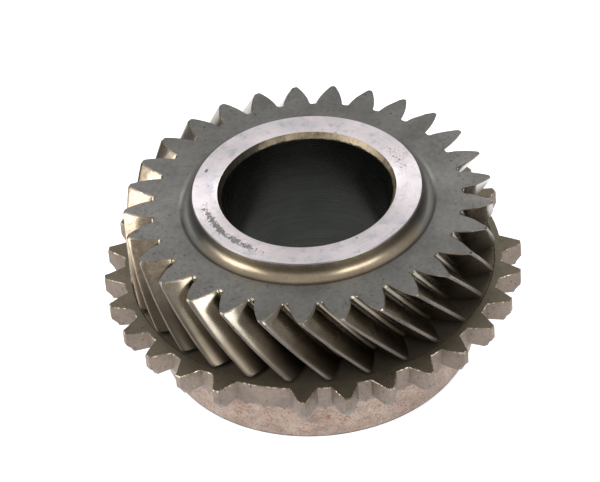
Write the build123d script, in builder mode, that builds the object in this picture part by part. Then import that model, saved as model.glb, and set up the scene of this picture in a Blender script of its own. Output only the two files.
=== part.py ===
from build123d import *
from math import acos, cos, pi, radians, sin, tan
import os

os.makedirs("parts", exist_ok=True)

# Helical speed gear of a manual gearbox: a gear wheel with its thrust hub, and a clutch
# body (dog ring and synchroniser cone) pressed on the wheel's serrated spigot.
# Millimetres. +Z is the bore axis, Z = 0 is the face the part stands on.

# gear wheel: tooth data
TEETH = 29
NORMAL_MODULE = 2.0
HELIX_ANGLE = 37.5  # left hand
PRESSURE_ANGLE = 20.0  # in the normal section
PROFILE_SHIFT = 0.23
TIP_RADIUS = 39.95
ROOT_RADIUS = 33.6
ROOT_FILLET = 0.55
TOOTH_PHASE = 78.31  # angle of one tooth centre on the upper face
RIM_BOTTOM = 21.0
RIM_TOP = 37.6
RIM_CHAMFER = 0.4

# gear wheel: hub, bore and spigot
HUB_TOP = 40.85
HUB_RADIUS = 25.0
WEB_RADIUS = 30.0  # where the turned web meets the toothed rim
GROOVE_RADIUS = 2.1
GROOVE_BOTTOM = 37.25
GROOVE_EDGE_RADIUS = 27.5
BORE_RADIUS = 18.5
BORE_CHAMFER_WIDTH = 0.92
BORE_CHAMFER_DEPTH = 1.45
LOWER_HUB_RADIUS = 24.5
POCKET_FLOOR = 12.0
POCKET_FILLET = 2.0
EDGE_CHAMFER = 0.3

# press fit between wheel and clutch body
SERRATIONS = 48
SERRATION_ROOT_RADIUS = 28.9
SERRATION_TIP_RADIUS = 29.7

# clutch body: dog ring
DOG_POSITIONS = 30
DOG_GAPS = (1, 11, 21)  # positions left without a tooth
DOG_TIP_RADIUS = 45.7
DOG_ROOT_RADIUS = 41.4
DOG_ROOT_HALF_ANGLE = 4.0
DOG_TIP_HALF_ANGLE = 0.8
DOG_TOP = 20.55
DOG_TIP_BREAK = 0.4
DOG_RIDGE = 14.7  # lowest line of each pointed tooth
DOG_FLANK_END = 16.2
RING_BOTTOM = 14.45
POINTING_RADIUS = 40.7  # how far in the pointing cuts reach
TOP_STEP_RADIUS = 39.8
TOP_STEP_DEPTH = 0.12
LAND_RADIUS = 32.5

# clutch body: synchroniser cone
CONE_RADIUS = 34.65  # at the free end
CONE_ANGLE = 6.5
CONE_BORE_RADIUS = 31.0
CONE_BORE_TOP = 11.0
RELIEF_WIDTH = 1.4
RELIEF_DEPTH = 0.8
CONE_CHAMFER = 0.35

# transverse tooth geometry
PITCH_RADIUS = TEETH * NORMAL_MODULE / (2 * cos(radians(HELIX_ANGLE)))
TRANSVERSE_ANGLE = tan(radians(PRESSURE_ANGLE)) / cos(radians(HELIX_ANGLE))
BASE_RADIUS = PITCH_RADIUS / (1 + TRANSVERSE_ANGLE**2) ** 0.5
PITCH_HALF_ANGLE = (pi / 2 + 2 * PROFILE_SHIFT * tan(radians(PRESSURE_ANGLE))) / TEETH
HELIX_TWIST = (RIM_TOP - RIM_BOTTOM) * tan(radians(HELIX_ANGLE)) / PITCH_RADIUS * 180 / pi


def polar(radius, degrees):
    """Point at a radius and an angle in degrees."""
    return (radius * cos(radians(degrees)), radius * sin(radians(degrees)))


def involute(radius):
    """Involute function of the flank at a radius, in radians."""
    angle = acos(min(1.0, BASE_RADIUS / radius))
    return tan(angle) - angle


def tooth_half_angle(radius):
    """Half the angle, in degrees, that a gear tooth fills at a radius."""
    half = PITCH_HALF_ANGLE + involute(PITCH_RADIUS) - involute(max(radius, BASE_RADIUS))
    return half * 180 / pi


# transverse section of the gear's toothed rim
FLANK_RADII = [ROOT_RADIUS + (TIP_RADIUS + 0.6 - ROOT_RADIUS) * i / 6 for i in range(7)]
with BuildSketch() as tooth_space:
    with BuildLine():
        left = [polar(r, 180 / TEETH - tooth_half_angle(r)) for r in FLANK_RADII]
        right = [polar(r, tooth_half_angle(r) - 180 / TEETH) for r in FLANK_RADII]
        Spline(*left)
        Spline(*right)
        ThreePointArc(right[0], (ROOT_RADIUS, 0), left[0])
        Line(left[-1], right[-1])
    make_face()
    fillet(tooth_space.vertices().sort_by(Axis.X)[:2], ROOT_FILLET)

with BuildSketch() as rim_section:
    Circle(TIP_RADIUS)
    Circle(WEB_RADIUS, mode=Mode.SUBTRACT)
    with PolarLocations(0, TEETH, start_angle=TOOTH_PHASE + HELIX_TWIST + 180 / TEETH):
        add(tooth_space.sketch, mode=Mode.SUBTRACT)

# section of the serrated spigot, shared by wheel and clutch body
with BuildSketch() as serration_section:
    Circle(SERRATION_ROOT_RADIUS)
    for k in range(SERRATIONS):
        middle = 360 / SERRATIONS * k
        with BuildLine():
            Polyline(
                polar(SERRATION_ROOT_RADIUS - 0.5, middle - 2.4),
                polar(SERRATION_TIP_RADIUS, middle - 1.0),
                polar(SERRATION_TIP_RADIUS, middle + 1.0),
                polar(SERRATION_ROOT_RADIUS - 0.5, middle + 2.4),
                close=True,
            )
        make_face()

# gear wheel
with BuildPart() as gear_wheel:
    # helical teeth, left hand
    add(
        Solid.extrude_linear_with_rotation(
            rim_section.face(),
            center=(0, 0, 0),
            normal=(0, 0, RIM_TOP - RIM_BOTTOM),
            angle=-HELIX_TWIST,
        ).moved(Location((0, 0, RIM_BOTTOM)))
    )
    # turned chamfers on both ends of the teeth
    with BuildSketch(Plane.XZ):
        with BuildLine():
            Polyline(
                (0, RIM_BOTTOM),
                (TIP_RADIUS - RIM_CHAMFER, RIM_BOTTOM),
                (TIP_RADIUS, RIM_BOTTOM + RIM_CHAMFER),
                (TIP_RADIUS, RIM_TOP - RIM_CHAMFER),
                (TIP_RADIUS - RIM_CHAMFER, RIM_TOP),
                (0, RIM_TOP),
                close=True,
            )
        make_face()
    revolve(axis=Axis.Z, mode=Mode.INTERSECT)
    # web, thrust hub with its fillet groove, bore and lower hub
    with BuildSketch(Plane.XZ):
        with BuildLine():
            Polyline(
                (HUB_RADIUS, GROOVE_BOTTOM + GROOVE_RADIUS),
                (HUB_RADIUS, HUB_TOP - EDGE_CHAMFER),
                (HUB_RADIUS - EDGE_CHAMFER, HUB_TOP),
                (BORE_RADIUS + BORE_CHAMFER_WIDTH, HUB_TOP),
                (BORE_RADIUS, HUB_TOP - BORE_CHAMFER_DEPTH),
                (BORE_RADIUS, 0.5),
                (BORE_RADIUS + 0.5, 0),
                (LOWER_HUB_RADIUS - EDGE_CHAMFER, 0),
                (LOWER_HUB_RADIUS, EDGE_CHAMFER),
                (LOWER_HUB_RADIUS, POCKET_FLOOR - POCKET_FILLET),
            )
            CenterArc(
                (LOWER_HUB_RADIUS + POCKET_FILLET, POCKET_FLOOR - POCKET_FILLET),
                POCKET_FILLET,
                start_angle=90,
                arc_size=90,
            )
            Polyline(
                (LOWER_HUB_RADIUS + POCKET_FILLET, POCKET_FLOOR),
                (SERRATION_ROOT_RADIUS, POCKET_FLOOR),
                (SERRATION_ROOT_RADIUS, RIM_BOTTOM),
                (WEB_RADIUS, RIM_BOTTOM),
                (WEB_RADIUS, RIM_TOP),
                (GROOVE_EDGE_RADIUS, RIM_TOP),
                (HUB_RADIUS + GROOVE_RADIUS, GROOVE_BOTTOM),
            )
            CenterArc(
                (HUB_RADIUS + GROOVE_RADIUS, GROOVE_BOTTOM + GROOVE_RADIUS),
                GROOVE_RADIUS,
                start_angle=180,
                arc_size=90,
            )
        make_face()
    revolve(axis=Axis.Z)
    # serrated spigot
    with BuildSketch(Plane.XY.offset(POCKET_FLOOR)):
        add(serration_section.sketch)
        Circle(LOWER_HUB_RADIUS + POCKET_FILLET, mode=Mode.SUBTRACT)
    extrude(amount=RIM_BOTTOM - POCKET_FLOOR)

# clutch body
with BuildPart() as clutch_body:
    # dog ring blank: straight teeth, three positions left empty
    with BuildSketch(Plane.XY.offset(RING_BOTTOM)) as dog_section:
        Circle(DOG_ROOT_RADIUS)
        for k in range(DOG_POSITIONS):
            if k in DOG_GAPS:
                continue
            middle = 360 / DOG_POSITIONS * k
            with BuildLine():
                Polyline(
                    polar(DOG_ROOT_RADIUS - 1, middle - DOG_ROOT_HALF_ANGLE),
                    polar(DOG_ROOT_RADIUS, middle - DOG_ROOT_HALF_ANGLE),
                    polar(DOG_TIP_RADIUS, middle - DOG_TIP_HALF_ANGLE),
                    polar(DOG_TIP_RADIUS, middle + DOG_TIP_HALF_ANGLE),
                    polar(DOG_ROOT_RADIUS, middle + DOG_ROOT_HALF_ANGLE),
                    polar(DOG_ROOT_RADIUS - 1, middle + DOG_ROOT_HALF_ANGLE),
                    close=True,
                )
            make_face()
    extrude(amount=DOG_TOP - RING_BOTTOM)
    # turned outside: broken top edge, lower chamfer with a small step
    with BuildSketch(Plane.XZ):
        with BuildLine():
            Polyline(
                (0, RING_BOTTOM),
                (DOG_TIP_RADIUS - 1.4, RING_BOTTOM),
                (DOG_TIP_RADIUS - 1.4, DOG_FLANK_END - 0.2),
                (DOG_TIP_RADIUS - 1.1, DOG_FLANK_END - 0.1),
                (DOG_TIP_RADIUS, DOG_FLANK_END + 0.9),
                (DOG_TIP_RADIUS, DOG_TOP - DOG_TIP_BREAK),
                (DOG_TIP_RADIUS - DOG_TIP_BREAK, DOG_TOP),
                (0, DOG_TOP),
                close=True,
            )
        make_face()
    revolve(axis=Axis.Z, mode=Mode.INTERSECT)
    # pointing cuts that give the teeth a roof towards the sleeve
    root_half_width = DOG_ROOT_RADIUS * sin(radians(DOG_ROOT_HALF_ANGLE))
    half_pitch_width = DOG_ROOT_RADIUS * sin(pi / DOG_POSITIONS)
    for k in range(DOG_POSITIONS):
        angle = 2 * pi / DOG_POSITIONS * k
        valley = root_half_width * (0.6 if k in DOG_GAPS else 1)
        ridge = RING_BOTTOM if k in DOG_GAPS else DOG_RIDGE
        pointing = Plane(
            origin=(POINTING_RADIUS * cos(angle), POINTING_RADIUS * sin(angle), 0),
            x_dir=(-sin(angle), cos(angle), 0),
            z_dir=(cos(angle), sin(angle), 0),
        )
        with BuildSketch(pointing):
            with BuildLine():
                Polyline(
                    (-half_pitch_width, RING_BOTTOM - 1),
                    (-half_pitch_width, RING_BOTTOM),
                    (-valley, DOG_FLANK_END),
                    (0, ridge),
                    (valley, DOG_FLANK_END),
                    (half_pitch_width, RING_BOTTOM),
                    (half_pitch_width, RING_BOTTOM - 1),
                    close=True,
                )
            make_face()
        extrude(amount=6, mode=Mode.SUBTRACT)
    # locating land and synchroniser cone with its relief groove
    cone_slope = tan(radians(CONE_ANGLE))
    cone_end = RING_BOTTOM - RELIEF_WIDTH
    with BuildSketch(Plane.XZ):
        with BuildLine():
            Polyline(
                (SERRATION_ROOT_RADIUS - 1, RIM_BOTTOM),
                (LAND_RADIUS, RIM_BOTTOM),
                (LAND_RADIUS, RING_BOTTOM),
                (CONE_RADIUS + RING_BOTTOM * cone_slope - RELIEF_DEPTH, RING_BOTTOM),
                (CONE_RADIUS + RING_BOTTOM * cone_slope - RELIEF_DEPTH, cone_end),
                (CONE_RADIUS + cone_end * cone_slope, cone_end),
                (CONE_RADIUS + CONE_CHAMFER * cone_slope, CONE_CHAMFER),
                (CONE_RADIUS - CONE_CHAMFER, 0),
                (CONE_BORE_RADIUS + EDGE_CHAMFER, 0),
                (CONE_BORE_RADIUS, EDGE_CHAMFER),
                (CONE_BORE_RADIUS, CONE_BORE_TOP),
                (SERRATION_ROOT_RADIUS - 1, CONE_BORE_TOP),
                close=True,
            )
        make_face()
    revolve(axis=Axis.Z)
    # fine turned step on the upper face
    with BuildSketch(Plane.XY.offset(DOG_TOP)):
        Circle(TOP_STEP_RADIUS)
        Circle(LAND_RADIUS, mode=Mode.SUBTRACT)
    extrude(amount=-TOP_STEP_DEPTH, mode=Mode.SUBTRACT)
    # serrated bore
    with BuildSketch(Plane.XY.offset(CONE_BORE_TOP)):
        add(serration_section.sketch)
    extrude(amount=RIM_BOTTOM - CONE_BORE_TOP, mode=Mode.SUBTRACT)

gear_wheel.part.label = "gear_wheel"
clutch_body.part.label = "clutch_body"
export_step(gear_wheel.part, "parts/gear_wheel.step")
export_step(clutch_body.part, "parts/clutch_body.step")
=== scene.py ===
import math

import bmesh
import bpy
from mathutils import Matrix, Vector, noise


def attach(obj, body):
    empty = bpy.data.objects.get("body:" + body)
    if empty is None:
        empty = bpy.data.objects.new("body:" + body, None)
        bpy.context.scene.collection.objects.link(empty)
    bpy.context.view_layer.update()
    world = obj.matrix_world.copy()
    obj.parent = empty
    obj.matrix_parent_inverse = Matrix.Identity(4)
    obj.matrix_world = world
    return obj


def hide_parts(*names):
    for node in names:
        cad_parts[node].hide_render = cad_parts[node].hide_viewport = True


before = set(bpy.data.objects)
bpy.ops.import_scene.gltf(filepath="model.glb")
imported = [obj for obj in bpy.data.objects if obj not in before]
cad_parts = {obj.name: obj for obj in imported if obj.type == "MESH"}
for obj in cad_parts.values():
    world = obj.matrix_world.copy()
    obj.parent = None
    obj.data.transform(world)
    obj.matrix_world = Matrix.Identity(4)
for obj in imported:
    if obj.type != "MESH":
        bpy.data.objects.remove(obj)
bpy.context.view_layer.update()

# Helical speed gear with its clutch body. Lengths are millimetres and angles are degrees unless a
# comment says otherwise, in the CAD frame: +Z is the bore axis and the part stands on Z = 0.
# Meshes and materials are written in metres.
MM = 0.001
SEGMENTS = 288                   # points in a turned ring
SHARP_ANGLE = 28                 # edges sharper than this aren't smoothed
WELD_DISTANCE = 0.002
CORNER_SHARE = 0.3               # where a rounded corner's middle point lies in its size

# gear wheel: teeth
TEETH = 29
NORMAL_MODULE = 2.0
HELIX_ANGLE = math.radians(37.5)
PRESSURE_ANGLE = math.radians(20)
PROFILE_SHIFT = 0.23             # in modules
TIP_RADIUS = 39.95
ROOT_RADIUS = 33.6
ROOT_FILLET = 0.55
TIP_CORNER = 0.12                # rounded corner between the tip land and a flank
TOOTH_PHASE = 78.31
RIM_BOTTOM = 21.0
RIM_TOP = 37.6
TIP_CHAMFER = 0.4
FLANK_CHAMFER = 0.24
ROOT_CHAMFER = 0.4
ROOT_CHAMFER_END = 0.1           # what is left of it where the flank chamfer ends
TOOTH_LAYERS = 26
FLANK_STEPS = 9
FILLET_STEPS = 5

# gear wheel: hub, bore, underside and spigot
HUB_TOP = 40.85
HUB_RADIUS = 25.0
HUB_MIDDLE_RADIUS = 22.0
HUB_CORNER = ((0, 0.32, "hub_side"), (0.03, 0.22, "edge"), (0.25, 0, "hub_edge"))  # inset, drop
GROOVE_RADIUS = 2.1
GROOVE_BOTTOM = 37.25
GROOVE_END_RADIUS = 28.1
GROOVE_STEPS, GROOVE_END_STEPS = 12, 6
FACE_MIDDLE_RADIUS = 31.0
FACE_INNER_RADIUS = 32.6
BORE_RADIUS = 18.5
BORE_CHAMFER = (0.92, 1.45)      # width, depth
BORE_EDGE = ((0.1, 0, "ground"), (-0.06, 0.07, "bore_edge"))  # past the chamfer, drop
BORE_LOWER_CHAMFER = 0.5
BORE_STEPS = 8
LOWER_HUB_RADIUS = 24.5
LOWER_HUB_CHAMFER = 0.3
POCKET_FLOOR = 12.0
POCKET_FILLET = 2.0
POCKET_STEPS = 8
SERRATIONS = 48
SERRATION_ROOT_RADIUS = 28.9
SERRATION_TIP_RADIUS = 29.7
SERRATION_ROOT_ANGLE = 2.12      # half angles of a serration
SERRATION_TIP_ANGLE = 1.0
SPIGOT_END = 12.35
SPIGOT_SHRINK = 0.3
SPIGOT_MARGIN = 0.7

# clutch body
DOG_POSITIONS = 30
DOG_GAPS = (1, 11, 21)
DOG_TIP_RADIUS = 45.7
DOG_ROOT_RADIUS = 41.4
DOG_ROOT_HALF_ANGLE = 4.0
DOG_TIP_HALF_ANGLE = 0.8
DOG_TOP = 20.55
DOG_MIDDLE = 18.5
DOG_RIDGE = 14.7
DOG_FLANK_END = 16.2
DOG_FLANK_SHARES = (0, 0.09, 0.19, 0.255, 0.325, 0.5, 0.75, 1)  # rays from tip to root corner
DOG_VALLEY_ANGLES = (4.07, 4.6, 5.3)
GAP_VALLEY_SHARE = 0.6           # the valleys are closer together under a missing tooth
WALL_EDGE, TIP_EDGE, FLANK_EDGE = 0.2, 0.32, 0.4  # widths of the worn upper edges
EDGE_MARGIN = 0.15
LOW_INNER_RADIUS, LOW_INNER_HEIGHT = DOG_TIP_RADIUS - 1.4, DOG_FLANK_END - 0.2
LOW_STEP_RADIUS, LOW_STEP_HEIGHT = DOG_TIP_RADIUS - 1.1, DOG_FLANK_END - 0.1
LOW_TIP_RISE = 1.0
RING_BOTTOM = 14.45
POINTING_RADIUS = 40.7
LOWER_FACE_RADIUS = 39.0
TOP_STEP_RADIUS = 39.8
TOP_STEP_INNER, TOP_STEP_OUTER = TOP_STEP_RADIUS - 0.14, TOP_STEP_RADIUS + 0.04
TOP_STEP = 0.12
LAND_RADIUS = 32.5
LAND_CHAMFER = 0.15
LAND_FOOT = 0.25
CONE_RADIUS = 34.65
CONE_SLOPE = math.tan(math.radians(6.5))
CONE_CORNER = 0.35
CONE_MIDDLE = 6.5
CONE_BORE_RADIUS = 31.0
CONE_BORE_TOP = 11.0
CONE_BORE_STEP = 0.4
CONE_BORE_CHAMFER = 0.3
CONE_END_CHAMFER = 0.15
CONE_FOOT = 0.1
RELIEF_WIDTH = 1.4
RELIEF_DEPTH = 0.8
RELIEF_CORNER = 0.2
PRESS_GAP = 0.02
SEAM_GAP = 0.01                  # keeps the land just under the gear wheel's rim

# uneven wear of the edges: greatest share of the way to the next ring, scale of the noise
RIM_WEAR = (0.5, 1.1)
DOG_WEAR = (0.7, 0.9)

# tones that the face and the fillet share
FACE_DARK, FACE_LIGHT = (0.134, 0.132, 0.124), (0.206, 0.199, 0.186)

# marks on the hub face: middle and half spread (radians), radius and half width, weight
HUB_MARKS = (
    (-2.56, 0.75, 22.3, 1.7, 0.34),
    (0.36, 0.34, 21.6, 2.4, 0.22),
    (2.75, 0.032, 23.1, 0.38, 0.9),
)

PITCH_RADIUS = TEETH * NORMAL_MODULE / (2 * math.cos(HELIX_ANGLE))
BASE_RADIUS = PITCH_RADIUS / math.hypot(1, math.tan(PRESSURE_ANGLE) / math.cos(HELIX_ANGLE))
HELIX_TWIST = math.degrees((RIM_TOP - RIM_BOTTOM) * math.tan(HELIX_ANGLE) / PITCH_RADIUS)


def at(radius, degrees, height):
    """Point at a radius, an angle and a height."""
    angle = math.radians(degrees)
    return (radius * math.cos(angle), radius * math.sin(angle), height)


class Shell:
    """A closed surface built from rings of points that run round the axis."""

    def __init__(self):
        self.points, self.faces, self.zones = [], [], []

    def ring(self, points):
        start = len(self.points)
        self.points.extend(points)
        return list(range(start, len(self.points)))

    def skin(self, upper, lower, zone):
        """Quads between two rings with the same number of points."""
        for i in range(len(upper)):
            j = (i + 1) % len(upper)
            self.faces.append((upper[i], upper[j], lower[j], lower[i]))
            self.zones.append(zone)

    def wear(self, ring, towards, share, scale):
        """Moves a ring's points, within their plane, unevenly towards another ring."""
        for i, j in zip(ring, towards):
            x, y, z = self.points[i]
            part = share * (0.5 + noise.noise(Vector((x, y, z)) * scale))
            target = self.points[j]
            self.points[i] = (x + (target[0] - x) * part, y + (target[1] - y) * part, z)

    def angles(self, ring, start):
        """Angles of a ring's points, in radians, unwrapped from a start angle."""
        found = []
        for i in ring:
            angle = math.atan2(self.points[i][1], self.points[i][0])
            last = found[-1] if found else start
            while angle < last - math.pi:
                angle += 2 * math.pi
            while angle > last + math.pi:
                angle -= 2 * math.pi
            found.append(angle)
        return found

    def annulus(self, one, two, zone):
        """Triangles between two rings with different numbers of points."""
        first = math.atan2(self.points[one[0]][1], self.points[one[0]][0])
        nearest = min(
            range(len(two)), key=lambda k: abs(self.angles([two[k]], first)[0] - first)
        )
        two = two[nearest:] + two[:nearest]
        a, b = self.angles(one, first), self.angles(two, first)
        a.append(a[0] + 2 * math.pi)
        b.append(b[0] + 2 * math.pi)
        i = j = 0
        while i < len(one) or j < len(two):
            p, q = one[i % len(one)], two[j % len(two)]
            if j == len(two) or (i < len(one) and a[i + 1] <= b[j + 1]):
                self.faces.append((p, one[(i + 1) % len(one)], q))
                i += 1
            else:
                self.faces.append((p, two[(j + 1) % len(two)], q))
                j += 1
            self.zones.append(zone)

    def turned(self, section):
        """Rings turned from (radius, height, zone) points, joined one to the next."""
        rings = []
        for k, (radius, height, zone) in enumerate(section):
            ring = self.ring([at(radius, 360 * i / SEGMENTS, height) for i in range(SEGMENTS)])
            if k:
                self.skin(rings[-1], ring, zone)
            rings.append(ring)
        return rings[0], rings[-1]

    def build(self, name, materials):
        """The Blender object, with one material per zone and sharp edges by angle."""
        mesh = bpy.data.meshes.new(name)
        mesh.from_pydata([Vector(p) * MM for p in self.points], [], self.faces)
        names = list(materials)
        for polygon, zone in zip(mesh.polygons, self.zones):
            polygon.material_index = names.index(zone)
        for zone in names:
            mesh.materials.append(materials[zone])
        work = bmesh.new()
        work.from_mesh(mesh)
        bmesh.ops.remove_doubles(work, verts=work.verts, dist=WELD_DISTANCE * MM)
        bmesh.ops.dissolve_degenerate(work, edges=work.edges, dist=0.5 * WELD_DISTANCE * MM)
        bmesh.ops.recalc_face_normals(work, faces=work.faces)
        work.to_mesh(mesh)
        work.free()
        mesh.shade_smooth()
        mesh.set_sharp_from_angle(angle=math.radians(SHARP_ANGLE))
        piece = bpy.data.objects.new(name, mesh)
        bpy.context.scene.collection.objects.link(piece)
        return piece


def involute(radius):
    """The involute function, in radians, at a radius of the tooth."""
    angle = math.acos(min(1.0, BASE_RADIUS / radius))
    return math.tan(angle) - angle


def tooth_half_angle(radius):
    """Half the angle, in radians, that a gear tooth fills at a radius."""
    pitch = (math.pi / 2 + 2 * PROFILE_SHIFT * math.tan(PRESSURE_ANGLE)) / TEETH
    return pitch + involute(PITCH_RADIUS) - involute(max(radius, BASE_RADIUS))


def half_outline(tip, thinning, root):
    """(radians, radius) points from a gear tooth's centre line to the middle of the space."""

    def flank(radius):
        return tooth_half_angle(radius) - thinning / radius

    land = flank(tip)
    points = [(0, tip), (land * 0.5, tip), (land - TIP_CORNER / tip, tip)]
    middle = CORNER_SHARE * TIP_CORNER
    points.append((land - middle / tip, tip - middle))
    centre = root + ROOT_FILLET
    lean = math.asin(ROOT_FILLET / centre)
    start, end = tip - TIP_CORNER, centre * math.cos(lean)
    for k in range(FLANK_STEPS + 1):
        radius = start + (end - start) * k / FLANK_STEPS
        points.append((flank(radius), radius))
    fillet = flank(end) + lean
    for k in range(1, FILLET_STEPS + 1):
        turn = math.radians(90 * k / FILLET_STEPS)
        radius = centre - ROOT_FILLET * math.sin(turn)
        points.append((fillet - ROOT_FILLET * math.cos(turn) / radius, radius))
    points.append((math.pi / TEETH, root))
    return points


def tooth_ring(height, tip_cut, thinning, root_cut):
    """One layer of the toothed rim, and the numbers of points in a tooth and in half of it."""
    half = half_outline(TIP_RADIUS - tip_cut, thinning, ROOT_RADIUS - root_cut)
    outline = [(-a, r) for a, r in reversed(half[1:-1])] + half
    turn = TOOTH_PHASE + HELIX_TWIST * (RIM_TOP - height) / (RIM_TOP - RIM_BOTTOM)
    points = []
    for k in range(TEETH):
        middle = turn + 360 * k / TEETH
        points += [at(r, middle + math.degrees(a), height) for a, r in outline]
    return points, len(outline), len(half)


def arc(centre, radius, start, end, steps):
    """(radius, height) points on an arc of a turned section."""
    found = []
    for k in range(steps + 1):
        a = math.radians(start + (end - start) * k / steps)
        found.append((centre[0] + radius * math.cos(a), centre[1] + radius * math.sin(a)))
    return found


def serrated(height, offset=0.0, shrink=0.0):
    """One layer of the serrated spigot, or of the bore that it is pressed into."""
    low, high = SERRATION_ROOT_RADIUS + offset, SERRATION_TIP_RADIUS + offset - shrink
    step = 360 / SERRATIONS
    shape = [
        (-SERRATION_ROOT_ANGLE, low),
        (-SERRATION_TIP_ANGLE, high),
        (0, high),
        (SERRATION_TIP_ANGLE, high),
        (SERRATION_ROOT_ANGLE, low),
        (step / 2, low),
    ]
    return [at(r, step * k + a, height) for k in range(SERRATIONS) for a, r in shape]


def toothed_rim(shell):
    """The helical teeth. Returns the upper and the lower end ring."""
    layers = [
        (RIM_TOP, TIP_CHAMFER, FLANK_CHAMFER, ROOT_CHAMFER),
        (RIM_TOP - FLANK_CHAMFER, TIP_CHAMFER - FLANK_CHAMFER, 0, ROOT_CHAMFER_END),
        (RIM_TOP - TIP_CHAMFER, 0, 0, 0),
    ]
    first, last = RIM_TOP - TIP_CHAMFER, RIM_BOTTOM + TIP_CHAMFER
    for k in range(1, TOOTH_LAYERS):
        layers.append((first + (last - first) * k / TOOTH_LAYERS, 0, 0, 0))
    layers += [(RIM_TOP + RIM_BOTTOM - z, *cuts) for z, *cuts in reversed(layers[:3])]
    rings = []
    for k, (height, *cuts) in enumerate(layers):
        points, per_tooth, half = tooth_ring(height, *cuts)
        ring = shell.ring(points)
        if k:
            edge = k == 1 or k == len(layers) - 1
            shell.skin(rings[-1], ring, "edge" if edge else "flank")
            if not edge:
                # from the centre line: two quads of tip land, then two of its worn corner
                start = len(shell.zones) - len(ring)
                for i in range(len(ring)):
                    from_middle = abs(i % per_tooth - half + 2.5)
                    if from_middle < 4:
                        shell.zones[start + i] = "tip" if from_middle < 2 else "tip_edge"
        rings.append(ring)
    for outer, inner in ((rings[0], rings[1]), (rings[-1], rings[-2])):
        shell.wear(outer, inner, *RIM_WEAR)
    return rings[0], rings[-1]


def wheel_section():
    """(radius, height, zone) points over the upper face, the hub, the bore and the underside."""
    section = [(FACE_INNER_RADIUS, RIM_TOP, "face"), (FACE_MIDDLE_RADIUS, RIM_TOP, "face")]
    # smooth end of the fillet groove, then its arc
    foot = HUB_RADIUS + GROOVE_RADIUS
    for k in range(GROOVE_END_STEPS + 1):
        share = 1 - k / GROOVE_END_STEPS
        radius = foot + (GROOVE_END_RADIUS - foot) * share
        rise = (3 - 2 * share) * share * share
        height = GROOVE_BOTTOM + (RIM_TOP - GROOVE_BOTTOM) * rise
        section.append((radius, height, "face" if k < 2 else "groove"))
    groove = arc((foot, GROOVE_BOTTOM + GROOVE_RADIUS), GROOVE_RADIUS, -90, -180, GROOVE_STEPS)
    section += [(r, z, "groove") for r, z in groove[1:]]
    section += [(HUB_RADIUS - inset, HUB_TOP - drop, zone) for inset, drop, zone in HUB_CORNER]
    # bore with its chamfers
    width, depth = BORE_CHAMFER
    bore_top = HUB_TOP - depth
    section.append((HUB_MIDDLE_RADIUS, HUB_TOP, "ground"))
    for past, drop, zone in BORE_EDGE:
        section.append((BORE_RADIUS + width + past, HUB_TOP - drop, zone))
    section.append((BORE_RADIUS + width / 2, HUB_TOP - depth / 2, "bore_chamfer"))
    section.append((BORE_RADIUS, bore_top, "bore_chamfer"))
    for k in range(1, BORE_STEPS + 1):
        height = bore_top + (BORE_LOWER_CHAMFER - bore_top) * k / BORE_STEPS
        section.append((BORE_RADIUS, height, "bore"))
    # lower hub and the pocket round it
    pocket_end = POCKET_FLOOR - POCKET_FILLET
    section += [
        (BORE_RADIUS + BORE_LOWER_CHAMFER, 0, "bore_chamfer"),
        (LOWER_HUB_RADIUS - LOWER_HUB_CHAMFER, 0, "ground"),
        (LOWER_HUB_RADIUS, LOWER_HUB_CHAMFER, "edge"),
        (LOWER_HUB_RADIUS, pocket_end, "under"),
    ]
    centre = (LOWER_HUB_RADIUS + POCKET_FILLET, pocket_end)
    pocket = arc(centre, POCKET_FILLET, 180, 90, POCKET_STEPS)
    section += [(r, z, "under") for r, z in pocket[1:]]
    section.append((SERRATION_ROOT_RADIUS - SPIGOT_MARGIN, POCKET_FLOOR, "under"))
    return section


def make_gear_wheel(materials):
    shell = Shell()
    rim_top, rim_bottom = toothed_rim(shell)
    outer, inner = shell.turned(wheel_section())
    shell.annulus(rim_top, outer, "face")
    # serrated spigot and the rim's lower face
    spigot = [
        shell.ring(serrated(POCKET_FLOOR, shrink=SPIGOT_SHRINK)),
        shell.ring(serrated(SPIGOT_END)),
        shell.ring(serrated(RIM_BOTTOM)),
    ]
    shell.annulus(inner, spigot[0], "under")
    shell.skin(spigot[0], spigot[1], "edge")
    shell.skin(spigot[1], spigot[2], "under")
    shell.annulus(spigot[2], rim_bottom, "under")
    return shell.build("gear_wheel_body", materials)


def dog_reach(offset):
    """Radius of the dog ring's wall at an angle from a tooth's centre line."""
    root_half, tip_half = math.radians(DOG_ROOT_HALF_ANGLE), math.radians(DOG_TIP_HALF_ANGLE)
    a = math.radians(abs(offset))
    if a >= root_half:
        return DOG_ROOT_RADIUS
    if a <= tip_half:
        # straight tip land across the tooth
        return DOG_TIP_RADIUS * math.cos(tip_half) / math.cos(a)
    # straight flank between the root and tip corners, cut by this ray
    rx, ry = DOG_ROOT_RADIUS * math.cos(root_half), DOG_ROOT_RADIUS * math.sin(root_half)
    tx, ty = DOG_TIP_RADIUS * math.cos(tip_half), DOG_TIP_RADIUS * math.sin(tip_half)
    return (rx * (ty - ry) - ry * (tx - rx)) / (math.cos(a) * (ty - ry) - math.sin(a) * (tx - rx))


def dog_roof(radius, offset, gap):
    """Height of the pointed lower end at a radius and an angle from the centre line."""
    across = abs(radius * math.sin(math.radians(offset)))
    root_half = DOG_ROOT_RADIUS * math.sin(math.radians(DOG_ROOT_HALF_ANGLE))
    valley = root_half * (GAP_VALLEY_SHARE if gap else 1)
    ridge = RING_BOTTOM if gap else DOG_RIDGE
    half_pitch = DOG_ROOT_RADIUS * math.sin(math.pi / DOG_POSITIONS)
    if across <= valley:
        return ridge + (DOG_FLANK_END - ridge) * across / valley
    fall = (DOG_FLANK_END - RING_BOTTOM) * (across - valley) / (half_pitch - valley)
    return max(RING_BOTTOM, DOG_FLANK_END - fall)


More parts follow.
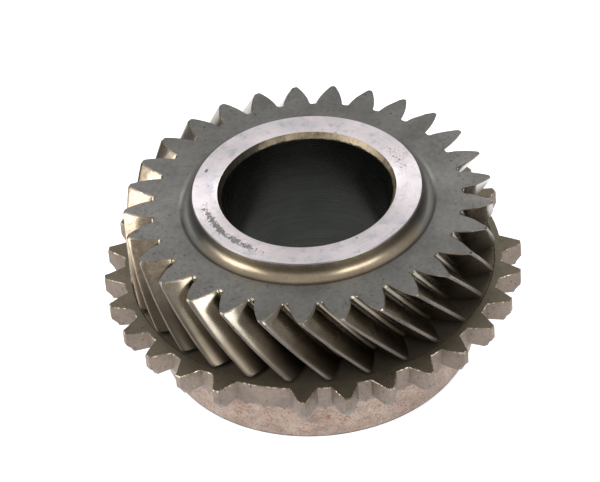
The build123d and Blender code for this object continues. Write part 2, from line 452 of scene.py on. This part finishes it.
def dog_section(offset, gap):
    """(radius, height, zone) points of the dog ring's section on one ray."""
    reach = DOG_ROOT_RADIUS if gap else dog_reach(offset)
    on_tip = not gap and abs(offset) <= DOG_TIP_HALF_ANGLE
    on_wall = gap or abs(offset) >= DOG_ROOT_HALF_ANGLE
    cut = TIP_EDGE if on_tip else WALL_EDGE if on_wall else FLANK_EDGE
    drop = TIP_EDGE if on_tip else WALL_EDGE
    zone = "dog_tip" if on_tip else "dog_wall"

    def roof(radius):
        return dog_roof(radius, offset, gap)

    points = [
        (LAND_RADIUS, DOG_TOP - TOP_STEP, "land"),
        (LAND_RADIUS + LAND_FOOT, DOG_TOP - TOP_STEP, "ring_top"),
        (TOP_STEP_INNER, DOG_TOP - TOP_STEP, "ring_top"),
        (TOP_STEP_OUTER, DOG_TOP, "dog_edge"),
        (reach - cut - EDGE_MARGIN, DOG_TOP, "ring_top"),
        (reach - cut, DOG_TOP, "ring_top"),
        (reach - CORNER_SHARE * cut, DOG_TOP - CORNER_SHARE * drop, "dog_edge"),
        (reach, DOG_TOP - drop, "dog_edge"),
        (reach, DOG_MIDDLE, zone),
    ]
    # the lower end: a chamfer near the tip, then the pointed end
    if reach > LOW_STEP_RADIUS:
        share = (reach - LOW_STEP_RADIUS) / (DOG_TIP_RADIUS - LOW_STEP_RADIUS)
        points.append((reach, LOW_STEP_HEIGHT + LOW_TIP_RISE * share, zone))
        points.append((LOW_STEP_RADIUS, LOW_STEP_HEIGHT, "dog_low"))
    elif reach > LOW_INNER_RADIUS:
        share = (reach - LOW_INNER_RADIUS) / (LOW_STEP_RADIUS - LOW_INNER_RADIUS)
        low = LOW_INNER_HEIGHT + (LOW_STEP_HEIGHT - LOW_INNER_HEIGHT) * share
        points += [(reach, low, zone)] * 2
    else:
        points += [(reach, roof(reach), zone)] * 2
    inner = min(reach, LOW_INNER_RADIUS)
    if reach > LOW_INNER_RADIUS:
        points.append((inner, LOW_INNER_HEIGHT, "dog_low"))
        points.append((inner, roof(inner), "dog_low"))
    else:
        points += [(inner, roof(inner), "dog_low")] * 2
    points.append((POINTING_RADIUS, roof(POINTING_RADIUS), "dog_low"))
    points.append((POINTING_RADIUS, RING_BOTTOM, "dog_low"))
    return points


def dog_rays():
    """(angle, section) of every ray on which the dog ring has points."""
    offsets = [0, DOG_TIP_HALF_ANGLE / 2]
    root = Vector(at(DOG_ROOT_RADIUS, DOG_ROOT_HALF_ANGLE, 0))
    tip = Vector(at(DOG_TIP_RADIUS, DOG_TIP_HALF_ANGLE, 0))
    for share in DOG_FLANK_SHARES:
        place = tip.lerp(root, share)
        offsets.append(math.degrees(math.atan2(place.y, place.x)))
    offsets += DOG_VALLEY_ANGLES
    root_rise = math.sin(math.radians(DOG_ROOT_HALF_ANGLE))
    gap_valley = math.degrees(math.asin(GAP_VALLEY_SHARE * root_rise))
    pitch = 360 / DOG_POSITIONS
    rays = []
    for k in range(DOG_POSITIONS):
        gap = k in DOG_GAPS
        side = sorted(offsets[1:] + ([gap_valley] if gap else []))
        for offset in [-pitch / 2] + [-a for a in reversed(side)] + [0.0] + side:
            rays.append((pitch * k + offset, dog_section(offset, gap)))
    return rays


def cone_reach(height):
    """Radius of the synchroniser cone at a height."""
    return CONE_RADIUS + height * CONE_SLOPE


def cone_section():
    """(radius, height, zone) points over the ring's underside, the cone and its bore."""
    cone_end = RING_BOTTOM - RELIEF_WIDTH
    relief = cone_reach(RING_BOTTOM) - RELIEF_DEPTH
    return [
        (LOWER_FACE_RADIUS, RING_BOTTOM, "dog_low"),
        (relief + RELIEF_CORNER, RING_BOTTOM, "dog_low"),
        (relief, RING_BOTTOM - RELIEF_CORNER, "dog_low"),
        (relief, cone_end + RELIEF_CORNER, "cone"),
        (relief + RELIEF_CORNER, cone_end, "cone"),
        (cone_reach(cone_end) - CONE_END_CHAMFER, cone_end, "cone"),
        (cone_reach(cone_end - CONE_END_CHAMFER), cone_end - CONE_END_CHAMFER, "cone"),
        (cone_reach(CONE_MIDDLE), CONE_MIDDLE, "cone"),
        (cone_reach(CONE_CORNER), CONE_CORNER, "cone"),
        # painted shade: the rounded foot, and the chamfer of the bore below, take a near-black
        # colour
        (CONE_RADIUS - CONE_FOOT, CONE_FOOT, "cone_edge_shade"),
        (CONE_RADIUS - CONE_CORNER, 0, "cone_edge_shade"),
        (CONE_BORE_RADIUS + CONE_BORE_CHAMFER, 0, "cone"),
        (CONE_BORE_RADIUS, CONE_BORE_CHAMFER, "cone_edge_shade"),
        (CONE_BORE_RADIUS, CONE_BORE_TOP - CONE_BORE_STEP, "cone"),
        (CONE_BORE_RADIUS - CONE_BORE_STEP, CONE_BORE_TOP, "cone"),
    ]


def make_clutch_body(materials):
    shell = Shell()
    rays = dog_rays()
    rings = []
    for i in range(len(rays[0][1])):
        points = [at(section[i][0], angle, section[i][1]) for angle, section in rays]
        rings.append(shell.ring(points))
        if i:
            start = len(shell.zones)
            shell.skin(rings[-2], rings[-1], "ring_top")
            for n in range(len(rays)):
                here, there = rays[n][1][i][2], rays[(n + 1) % len(rays)][1][i][2]
                shell.zones[start + n] = there if here == "dog_tip" else here
    # the worn upper edge: rings 5 and 7 of the section are its start and its end
    shell.wear(rings[5], rings[7], *DOG_WEAR)
    outer, inner = shell.turned(cone_section())
    shell.annulus(rings[-1], outer, "dog_low")
    # serrated bore and the land that the gear wheel's rim sits on
    land_top = RIM_BOTTOM - SEAM_GAP
    bore = [shell.ring(serrated(z, PRESS_GAP)) for z in (CONE_BORE_TOP, land_top)]
    shell.annulus(inner, bore[0], "dog_low")
    shell.skin(bore[0], bore[1], "dog_low")
    land, land_foot = shell.turned([
        (LAND_RADIUS - LAND_CHAMFER, land_top, "land"),
        (LAND_RADIUS, land_top - LAND_CHAMFER, "land"),
    ])
    shell.annulus(bore[1], land, "land")
    shell.annulus(land_foot, rings[0], "land")
    return shell.build("clutch_body_ring", materials)


class Surface:
    """A node material that is built step by step. Positions are metres in the CAD frame."""

    def __init__(self, name, metallic, **sockets):
        self.material = bpy.data.materials.new(name)
        self.material.use_nodes = True
        self.nodes = self.material.node_tree.nodes
        self.links = self.material.node_tree.links
        self.shader = self.nodes["Principled BSDF"]
        self.shader.inputs["Metallic"].default_value = metallic
        for socket, value in sockets.items():
            self.shader.inputs[socket.replace("_", " ")].default_value = value
        self.position = self.node("ShaderNodeTexCoord").outputs["Object"]

    def node(self, kind, inputs=(), **settings):
        made = self.nodes.new(kind)
        for key, value in settings.items():
            setattr(made, key, value)
        for key, value in dict(inputs).items():
            if isinstance(value, bpy.types.NodeSocket):
                self.links.new(value, made.inputs[key])
            else:
                made.inputs[key].default_value = value
        return made

    def math(self, operation, *values):
        return self.node("ShaderNodeMath", enumerate(values), operation=operation).outputs[0]

    def add(self, one, two):
        return self.math("ADD", one, two)

    def less(self, one, two):
        return self.math("SUBTRACT", one, two)

    def times(self, one, two):
        return self.math("MULTIPLY", one, two)

    def spread(self, value, low, high, new_low=0.0, new_high=1.0):
        """Maps low..high to new_low..new_high, clamped."""
        inputs = {"Value": value, "From Min": low, "From Max": high}
        inputs.update({"To Min": new_low, "To Max": new_high})
        return self.node("ShaderNodeMapRange", inputs).outputs["Result"]

    def mix(self, factor, one, two):
        made = self.node("ShaderNodeMix", {0: factor}, data_type="RGBA")
        for socket, value in ((made.inputs[6], one), (made.inputs[7], two)):
            if isinstance(value, bpy.types.NodeSocket):
                self.links.new(value, socket)
            else:
                socket.default_value = (*value, 1.0)
        return made.outputs[2]

    def noise(self, scale, detail=4.0, roughness=0.55, vector=None):
        inputs = {"Vector": vector or self.position, "Scale": scale}
        inputs.update({"Detail": detail, "Roughness": roughness})
        return self.node("ShaderNodeTexNoise", inputs).outputs["Fac"]

    def polar(self):
        """Radius, height, and the cosine and sine of the angle round the axis."""
        split = self.node("ShaderNodeSeparateXYZ", {0: self.position})
        x, y, z = split.outputs
        radius = self.math("SQRT", self.add(self.times(x, x), self.times(y, y)))
        return radius, z, self.math("DIVIDE", x, radius), self.math("DIVIDE", y, radius)

    def combine(self, *values):
        return self.node("ShaderNodeCombineXYZ", enumerate(values)).outputs[0]

    def lathe(self, along, across):
        """Coordinates in which a noise is drawn out round the axis, as turning marks are."""
        radius, z, cosine, sine = self.polar()
        track = self.times(self.add(radius, self.times(z, 1.3)), across)
        return self.combine(self.times(cosine, along), self.times(sine, along), track)

    def pits(self, scale, size, share):
        """Mask of small round pits: 1 in a pit. Only a share of the cells has one."""
        inputs = {"Vector": self.position, "Scale": scale, "Randomness": 1.0}
        cell = self.node("ShaderNodeTexVoronoi", inputs)
        pick = self.node("ShaderNodeSeparateColor", {0: cell.outputs["Color"]}).outputs[0]
        inside = self.spread(cell.outputs["Distance"], size, size * 0.6)
        return self.times(inside, self.spread(pick, share, share - 0.02))

    def brushed(self, amount):
        """Stretches highlights across marks that run round the axis."""
        self.shader.inputs["Anisotropic"].default_value = amount
        self.shader.inputs["Anisotropic Rotation"].default_value = 0.25
        tangent = self.node("ShaderNodeTangent", direction_type="RADIAL", axis="Z")
        self.links.new(tangent.outputs[0], self.shader.inputs["Tangent"])

    def finish(self, colour, roughness, height, strength=0.4, depth=0.02):
        """Links the shader, with a bump of a depth in millimetres, and gives the material."""
        self.links.new(colour, self.shader.inputs["Base Color"])
        self.links.new(roughness, self.shader.inputs["Roughness"])
        inputs = {"Strength": strength, "Distance": depth * MM, "Height": height}
        bump = self.node("ShaderNodeBump", inputs)
        self.links.new(bump.outputs[0], self.shader.inputs["Normal"])
        return self.material


def coated_steel(
    name, dark, light, roughness=(0.42, 0.6), metallic=0.85, grain=1400, strength=0.5,
    pit_share=0.25, worn=None, worn_level=0.6,
):
    """Dark phosphated steel: blotches, fine grain, pits, and a worn tone where it rubs."""
    s = Surface(name, metallic)
    blotch, fine = s.noise(90, 5, 0.6), s.noise(grain, 3, 0.6)
    colour = s.mix(s.spread(blotch, 0.35, 0.68), dark, light)
    colour = s.mix(s.spread(fine, 0.3, 0.75, 0.0, 0.35), colour, [0.6 * c for c in dark])
    if worn:
        rub = s.noise(1300, 4, 0.7)
        colour = s.mix(s.spread(rub, worn_level, worn_level + 0.08), colour, worn)
    pits = s.pits(900, 0.28, pit_share)
    colour = s.mix(s.times(pits, 0.6), colour, [0.25 * c for c in dark])
    rough = s.spread(fine, 0.3, 0.7, *roughness)
    return s.finish(colour, rough, s.less(fine, pits), strength)


def turned_steel(
    name, dark, light, roughness=(0.25, 0.4), along=2.5, across=2600, strength=0.25
):
    """Turned or ground steel: fine marks round the axis over soft blotches."""
    s = Surface(name, 1.0)
    marks = s.noise(1.0, 4, 0.65, s.lathe(along, across))
    blotch = s.noise(70, 4, 0.6)
    colour = s.mix(s.spread(blotch, 0.3, 0.7), dark, light)
    colour = s.mix(s.spread(marks, 0.35, 0.75, 0.0, 0.5), colour, [0.75 * c for c in dark])
    rough = s.spread(s.add(marks, blotch), 0.7, 1.3, *roughness)
    return s.finish(colour, rough, marks, strength)


def ground_face(name):
    """Ground thrust face: pink and blue-grey blotches, faint marks, stains and a few pits."""
    s = Surface(name, 1.0)
    s.brushed(0.8)
    marks = s.noise(1.0, 4, 0.6, s.lathe(4, 3400))
    cloud, patch = s.noise(190, 5, 0.6), s.noise(420, 5, 0.65)
    colour = s.mix(s.spread(cloud, 0.35, 0.65), (0.66, 0.625, 0.65), (0.83, 0.735, 0.75))
    colour = s.mix(s.spread(patch, 0.52, 0.70, 0.0, 0.75), colour, (0.44, 0.455, 0.48))
    colour = s.mix(s.spread(patch, 0.46, 0.32, 0.0, 0.5), colour, (0.72, 0.60, 0.62))
    colour = s.mix(s.spread(marks, 0.45, 0.75, 0.0, 0.35), colour, (0.42, 0.41, 0.43))
    # on the upper face only: an arc of stain on the left, a smudge on the right, one dark pit
    radius, height, cosine, sine = s.polar()
    angle = s.math("ARCTAN2", sine, cosine)
    upper = s.math("GREATER_THAN", height, 0.5 * HUB_TOP * MM)
    stain = 0.0
    for middle, half_spread, reach, half_width, weight in HUB_MARKS:
        away = s.math("ABSOLUTE", s.less(angle, middle))
        off = s.math("ABSOLUTE", s.less(radius, reach * MM))
        across = s.spread(off, half_width * MM, 0.2 * half_width * MM)
        inside = s.times(s.spread(away, half_spread, half_spread * 0.4), across)
        stain = s.math("MAXIMUM", s.times(s.times(inside, upper), weight), stain)
    speckle = s.noise(1500, 5, 0.75)
    mark = s.spread(s.add(stain, speckle), 0.735, 0.80)
    colour = s.mix(s.times(mark, 0.85), colour, (0.115, 0.13, 0.115))
    pits = s.pits(420, 0.16, 0.16)
    colour = s.mix(s.times(pits, 0.75), colour, (0.10, 0.10, 0.10))
    rough = s.spread(s.add(marks, mark), 0.3, 1.3, 0.34, 0.56)
    return s.finish(colour, rough, s.less(marks, pits), 0.12)


def bore_chamfer_steel(name):
    """Rough brown chamfer with short marks across it and a ragged dark lower border."""
    s = Surface(name, 1.0)
    _, height, cosine, sine = s.polar()
    place = s.combine(s.times(cosine, 30), s.times(sine, 30), s.times(height, 700))
    marks, grime = s.noise(1.0, 5, 0.7, place), s.noise(1100, 4, 0.7)
    colour = s.mix(s.spread(marks, 0.35, 0.65), (0.17, 0.135, 0.09), (0.33, 0.27, 0.19))
    # darker towards the lower border, and more so on the left
    low = s.spread(height, (HUB_TOP - 0.85) * MM, (HUB_TOP - BORE_CHAMFER[1]) * MM)
    cloud = s.noise(120, 5, 0.75)
    border = s.add(s.times(low, 0.5), s.add(s.times(marks, 0.4), cloud))
    left = s.spread(s.less(cloud, s.times(cosine, 0.5)), 0.55, 0.8, 0.0, 0.92)
    darkening = s.math("MAXIMUM", s.spread(border, 0.93, 1.08), left)
    colour = s.mix(darkening, colour, (0.02, 0.021, 0.017))
    colour = s.mix(s.spread(grime, 0.5, 0.7, 0.0, 0.5), colour, (0.09, 0.075, 0.05))
    return s.finish(colour, s.spread(marks, 0.3, 0.7, 0.35, 0.6), s.add(marks, grime), 0.7, 0.05)


def face_steel(name):
    """Dark upper face: soft mottling, faint brushed sheen, small scars near the teeth."""
    s = Surface(name, 0.95)
    s.brushed(0.6)
    radius = s.polar()[0]
    cloud, mottle, grain = s.noise(130, 4, 0.6), s.noise(900, 5, 0.75), s.noise(1500, 4, 0.7)
    colour = s.mix(s.spread(cloud, 0.3, 0.7), FACE_DARK, FACE_LIGHT)
    colour = s.mix(s.spread(mottle, 0.46, 0.34, 0.0, 0.5), colour, (0.085, 0.083, 0.079))
    colour = s.mix(s.spread(mottle, 0.54, 0.68, 0.0, 0.4), colour, (0.27, 0.255, 0.23))
    near_teeth = s.spread(radius, 30 * MM, 33 * MM)
    where = s.times(near_teeth, s.spread(s.noise(60, 2), 0.44, 0.56))
    scars = s.times(s.spread(s.noise(1100, 5, 0.8), 0.56, 0.61), where)
    scars = s.math("MAXIMUM", scars, s.pits(700, 0.25, 0.06))
    colour = s.mix(s.times(scars, 0.7), colour, (0.045, 0.043, 0.04))
    rough = s.spread(grain, 0.3, 0.7, 0.36, 0.5)
    return s.finish(colour, rough, s.less(s.add(mottle, grain), s.times(scars, 2)), 0.3)


def cone_steel(name):
    """Matt pinkish cone: pale and brown blotches, speckle, and a few rust spots."""
    s = Surface(name, 0.55)
    height = s.polar()[1]
    blotch, patch, speckle = s.noise(160, 6, 0.7), s.noise(460, 5, 0.7), s.noise(2100, 3, 0.6)
    colour = s.mix(s.spread(blotch, 0.36, 0.64), (0.265, 0.185, 0.145), (0.40, 0.31, 0.252))
    colour = s.mix(s.spread(patch, 0.52, 0.70, 0.0, 0.6), colour, (0.45, 0.37, 0.31))
    colour = s.mix(s.spread(patch, 0.46, 0.34, 0.0, 0.55), colour, (0.18, 0.128, 0.10))
    colour = s.mix(s.spread(speckle, 0.50, 0.66, 0.0, 0.8), colour, (0.16, 0.115, 0.09))
    rust = s.times(s.pits(260, 0.3, 0.3), s.spread(speckle, 0.35, 0.55))
    colour = s.mix(s.times(rust, 0.8), colour, (0.22, 0.085, 0.035))
    # painted shade: a dark line where the cone meets the floor
    colour = s.mix(s.spread(height, 0.6 * MM, 0.35 * MM), colour, (0.085, 0.07, 0.062))
    return s.finish(colour, s.spread(speckle, 0.3, 0.7, 0.42, 0.62), s.add(speckle, patch), 0.5)


def fillet_steel(name):
    """Smooth fillet round the hub: dark at its back and in painted shade by the hub; grainy bronze
    with a painted sheen on its front half.
    """
    s = Surface(name, 0.95)
    s.brushed(0.6)
    radius, _, _, sine = s.polar()
    marks = s.noise(1.0, 4, 0.65, s.lathe(2.5, 2600))
    cloud, grain = s.noise(130, 4, 0.6), s.noise(1500, 4, 0.7)
    tone = s.spread(cloud, 0.3, 0.7)
    # painted sheen: the front half, towards -Y, takes a bright bronze that stands for the reflected
    # lights; it is also glossier there
    front_sheen_and_gloss = s.spread(s.add(sine, s.times(cloud, 0.3)), -0.22, -0.62)
    # the outer end keeps the tone of the face; towards the hub it darkens, a painted shade in the
    # corner
    inner = s.spread(radius, (GROOVE_END_RADIUS - 0.3) * MM, (GROOVE_END_RADIUS - 1.7) * MM)
    dark = s.mix(inner, s.mix(tone, FACE_DARK, FACE_LIGHT), (0.085, 0.083, 0.076))
    bronze_sheen = s.mix(tone, (0.245, 0.192, 0.128), (0.36, 0.302, 0.225))
    bronze_sheen = s.mix(s.spread(grain, 0.45, 0.75, 0.0, 0.35), bronze_sheen, (0.13, 0.095, 0.05))
    colour = s.mix(s.times(front_sheen_and_gloss, inner), dark, bronze_sheen)
    colour = s.mix(s.spread(marks, 0.4, 0.75, 0.0, 0.3), colour, (0.10, 0.085, 0.06))
    rough = s.less(s.spread(marks, 0.3, 0.7, 0.38, 0.46), s.times(front_sheen_and_gloss, 0.12))
    return s.finish(colour, rough, s.add(marks, grain), 0.05)


def flank_steel(name):
    """Burnished tooth flank: bright near the upper face, brown further down as painted shade,
    golden at the left.
    """
    s = Surface(name, 1.0)
    _, height, cosine, _ = s.polar()
    cloud, fine, mottle = s.noise(110, 4, 0.55), s.noise(2600, 3, 0.6), s.noise(750, 5, 0.7)
    golden = s.times(s.spread(cosine, -0.55, -0.9), s.spread(cloud, 0.3, 0.6, 0.4, 0.9))
    steel = s.mix(s.spread(cloud, 0.35, 0.65), (0.21, 0.187, 0.152), (0.31, 0.282, 0.238))
    patina = s.mix(s.spread(mottle, 0.4, 0.62), (0.30, 0.245, 0.18), (0.165, 0.12, 0.08))
    steel = s.mix(golden, steel, patina)
    brown = s.mix(s.spread(cloud, 0.4, 0.62), (0.115, 0.097, 0.073), (0.16, 0.132, 0.098))
    brown = s.mix(golden, brown, (0.060, 0.043, 0.027))
    # painted shade: from 36 mm down to 27.5 mm the flank darkens to the brown
    level = s.add(height, s.times(s.less(cloud, 0.5), 4 * MM))
    colour = s.mix(s.spread(level, 36 * MM, 27.5 * MM), steel, brown)
    colour = s.mix(s.spread(fine, 0.5, 0.8, 0.0, 0.15), colour, (0.10, 0.08, 0.06))
    rough = s.add(s.spread(level, 36 * MM, 28 * MM, 0.16, 0.30), s.times(fine, 0.04))
    return s.finish(colour, rough, fine, 0.004)


gear_materials = {
    "face": face_steel("gear_face"),
    "flank": flank_steel("gear_flank"),
    "tip": coated_steel(
        "gear_tip_land", (0.09, 0.08, 0.073), (0.16, 0.145, 0.135),
        roughness=(0.3, 0.5), metallic=1.0, grain=900, strength=0.4, pit_share=0.3,
    ),
    "tip_edge": coated_steel(
        "gear_tip_edge", (0.16, 0.13, 0.10), (0.29, 0.245, 0.195),
        roughness=(0.3, 0.5), metallic=1.0, grain=900, strength=0.4, pit_share=0.3,
    ),
    "edge": coated_steel(
        "gear_edge", (0.13, 0.105, 0.08), (0.26, 0.22, 0.17),
        roughness=(0.25, 0.45), metallic=1.0, grain=1100, pit_share=0.2,
        worn=(0.6, 0.51, 0.4), worn_level=0.62,
    ),
    "groove": fillet_steel("hub_fillet"),
    "hub_side": fillet_steel("hub_side"),
    "hub_edge": turned_steel("hub_edge", (0.15, 0.145, 0.145), (0.24, 0.23, 0.23)),
    "ground": ground_face("ground_steel"),
    "bore_edge": turned_steel(
        "bore_edge", (0.62, 0.56, 0.52), (0.8, 0.73, 0.68), roughness=(0.3, 0.4)
    ),
    "bore_chamfer": bore_chamfer_steel("bore_chamfer"),
    "bore": turned_steel(
        "bore", (0.054, 0.057, 0.050), (0.092, 0.095, 0.084),
        roughness=(0.2, 0.32), along=1.5, across=3600, strength=0.45,
    ),
    "under": coated_steel("gear_underside", (0.10, 0.095, 0.09), (0.16, 0.145, 0.125)),
}
clutch_materials = {
    "ring_top": coated_steel(
        "ring_top", (0.138, 0.116, 0.083), (0.213, 0.184, 0.136),
        roughness=(0.38, 0.55), metallic=0.9, pit_share=0.12,
    ),
    "dog_edge": coated_steel(
        "dog_edge", (0.13, 0.105, 0.07), (0.30, 0.25, 0.18),
        roughness=(0.3, 0.5), metallic=1.0, grain=1100, pit_share=0.1,
        worn=(0.72, 0.62, 0.48), worn_level=0.52,
    ),
    "dog_wall": coated_steel(
        "dog_flank", (0.178, 0.141, 0.115), (0.273, 0.221, 0.182),
        roughness=(0.4, 0.6), metallic=0.7,
    ),
    "dog_tip": coated_steel(
        "dog_tip_land", (0.167, 0.136, 0.109), (0.293, 0.243, 0.199),
        roughness=(0.35, 0.55), metallic=0.7,
    ),
    "dog_low": coated_steel(
        "dog_pointing", (0.17, 0.155, 0.15), (0.27, 0.25, 0.24),
        roughness=(0.35, 0.55), metallic=0.75,
    ),
    "land": turned_steel("land", (0.08, 0.07, 0.06), (0.12, 0.11, 0.09)),
    "cone": cone_steel("synchroniser_cone"),
    # painted shade: the cone's lower edges are given a near-black colour
    "cone_edge_shade": coated_steel(
        "cone_edge_shade", (0.07, 0.06, 0.052), (0.11, 0.09, 0.078), roughness=(0.4, 0.6), metallic=0.8
    ),
}

wheel = make_gear_wheel(gear_materials)
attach(wheel, "root")
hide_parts("gear_wheel")

clutch = make_clutch_body(clutch_materials)
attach(clutch, "root")
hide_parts("clutch_body")


# floor: white paper on a lit table, so that the shadow stays faint
floor_mesh = bpy.data.meshes.new("floor")
floor_work = bmesh.new()
bmesh.ops.create_grid(floor_work, x_segments=1, y_segments=1, size=0.2)
floor_work.to_mesh(floor_mesh)
floor_work.free()
floor = bpy.data.objects.new("floor", floor_mesh)
bpy.context.scene.collection.objects.link(floor)
paper = Surface(
    "floor_paper", 0.0, Emission_Color=(0.97, 0.98, 1.0, 1.0), Emission_Strength=0.45
)
fibre = paper.noise(8, 3)
white = paper.mix(fibre, (0.86, 0.865, 0.88), (0.88, 0.885, 0.895))
paper_rough = paper.spread(fibre, 0.3, 0.7, 0.8, 0.9)
floor_mesh.materials.append(paper.finish(white, paper_rough, fibre, 0.02))


def softbox(name, place, size, radiance):
    """A square area light that faces the part, with an even radiance. Lengths in metres."""
    light = bpy.data.lights.new(name, "AREA")
    light.shape = "SQUARE"
    light.size = size
    light.energy = radiance * math.pi * size * size
    lamp = bpy.data.objects.new(name, light)
    lamp.location = place
    lamp.visible_camera = False
    lamp.rotation_mode = "QUATERNION"
    aim = Vector((0, 0, 0.02)) - Vector(place)
    lamp.rotation_quaternion = aim.to_track_quat("-Z", "Y")
    bpy.context.scene.collection.objects.link(lamp)


# soft studio light; the back pair lights the brushed hub face at its left and right
softbox("left", (-0.98, -0.36, 0.47), 0.75, 5.6)
softbox("left_low", (-1.05, 0.1, 0.22), 0.32, 2.0)
softbox("right", (0.7, -0.78, 0.75), 0.7, 5.0)
softbox("back_left", (-0.7, 0.97, 0.73), 0.5, 4.0)
softbox("back_right", (0.7, 0.97, 0.73), 0.5, 4.0)

# surroundings: bright above, darker near the horizon; the camera sees plain white
world = bpy.data.worlds.new("studio")
bpy.context.scene.world = world
world.use_nodes = True
sky = world.node_tree
background = sky.nodes["Background"]
direction = sky.nodes.new("ShaderNodeTexCoord")
elevation = sky.nodes.new("ShaderNodeSeparateXYZ")
glow = sky.nodes.new("ShaderNodeMapRange")
light_path = sky.nodes.new("ShaderNodeLightPath")
strength = sky.nodes.new("ShaderNodeMath")
strength.operation = "MAXIMUM"
sky.links.new(direction.outputs["Generated"], elevation.inputs[0])
sky.links.new(elevation.outputs[2], glow.inputs["Value"])
sky_levels = (("From Min", 0.0), ("From Max", 0.5), ("To Min", 0.25), ("To Max", 0.85))
for socket, level in sky_levels:
    glow.inputs[socket].default_value = level
sky.links.new(glow.outputs["Result"], strength.inputs[0])
sky.links.new(light_path.outputs["Is Camera Ray"], strength.inputs[1])
sky.links.new(strength.outputs[0], background.inputs["Strength"])
background.inputs["Color"].default_value = (1.0, 1.0, 1.0, 1.0)
bpy.context.scene.view_settings.view_transform = "Standard"

# camera, set from where the hub, the bore and the tooth tips lie in the view
CAMERA_PLACE = (-0.0024, -0.574, 0.5174)
CAMERA_RIGHT = (0.9964232, -0.0549484, -0.0641989)
CAMERA_UP = (0.0845033, 0.6479248, 0.7570024)
CAMERA_BACK = (0.0, -0.7597198, 0.6502506)
turn = Matrix((CAMERA_RIGHT, CAMERA_UP, CAMERA_BACK)).transposed().to_4x4()
camera = bpy.data.objects.new("camera", bpy.data.cameras.new("camera"))
camera.data.lens = 208.13
camera.data.sensor_width = 36.0
camera.data.clip_start = 0.01
camera.data.clip_end = 50
camera.matrix_world = Matrix.Translation(CAMERA_PLACE) @ turn
bpy.context.scene.collection.objects.link(camera)
bpy.context.scene.camera = camera
